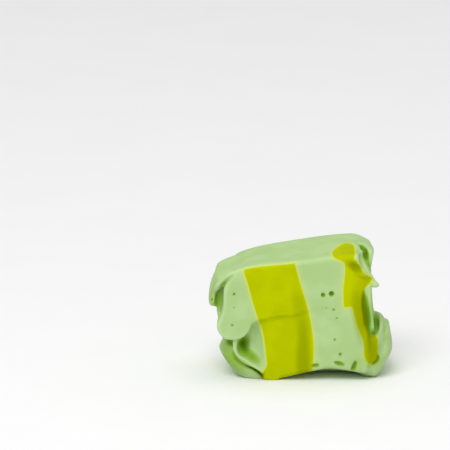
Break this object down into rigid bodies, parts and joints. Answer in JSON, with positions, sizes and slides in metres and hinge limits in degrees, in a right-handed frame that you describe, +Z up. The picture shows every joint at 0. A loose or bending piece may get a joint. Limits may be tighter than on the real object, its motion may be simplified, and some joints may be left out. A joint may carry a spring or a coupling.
{
  "type": "salt water taffy",
  "caption": "Unwrapped piece of pale green salt water taffy with yellow layers through it and pinched ends.",
  "frame": {"origin": "on the resting face, under the middle of the piece", "axes": "+X along the length towards the rounded lobe, +Y from the shown cut face to the back, +Z up"},
  "size_m": [0.0261, 0.0147, 0.0186],
  "materials": {
    "green_taffy": "satin",
    "yellow_taffy": "satin"
  },
  "bodies": {
    "root": {"green_taffy": "green_taffy", "yellow_layer_left": "yellow_taffy", "yellow_layer_right": "yellow_taffy"}
  },
  "joints": []
}
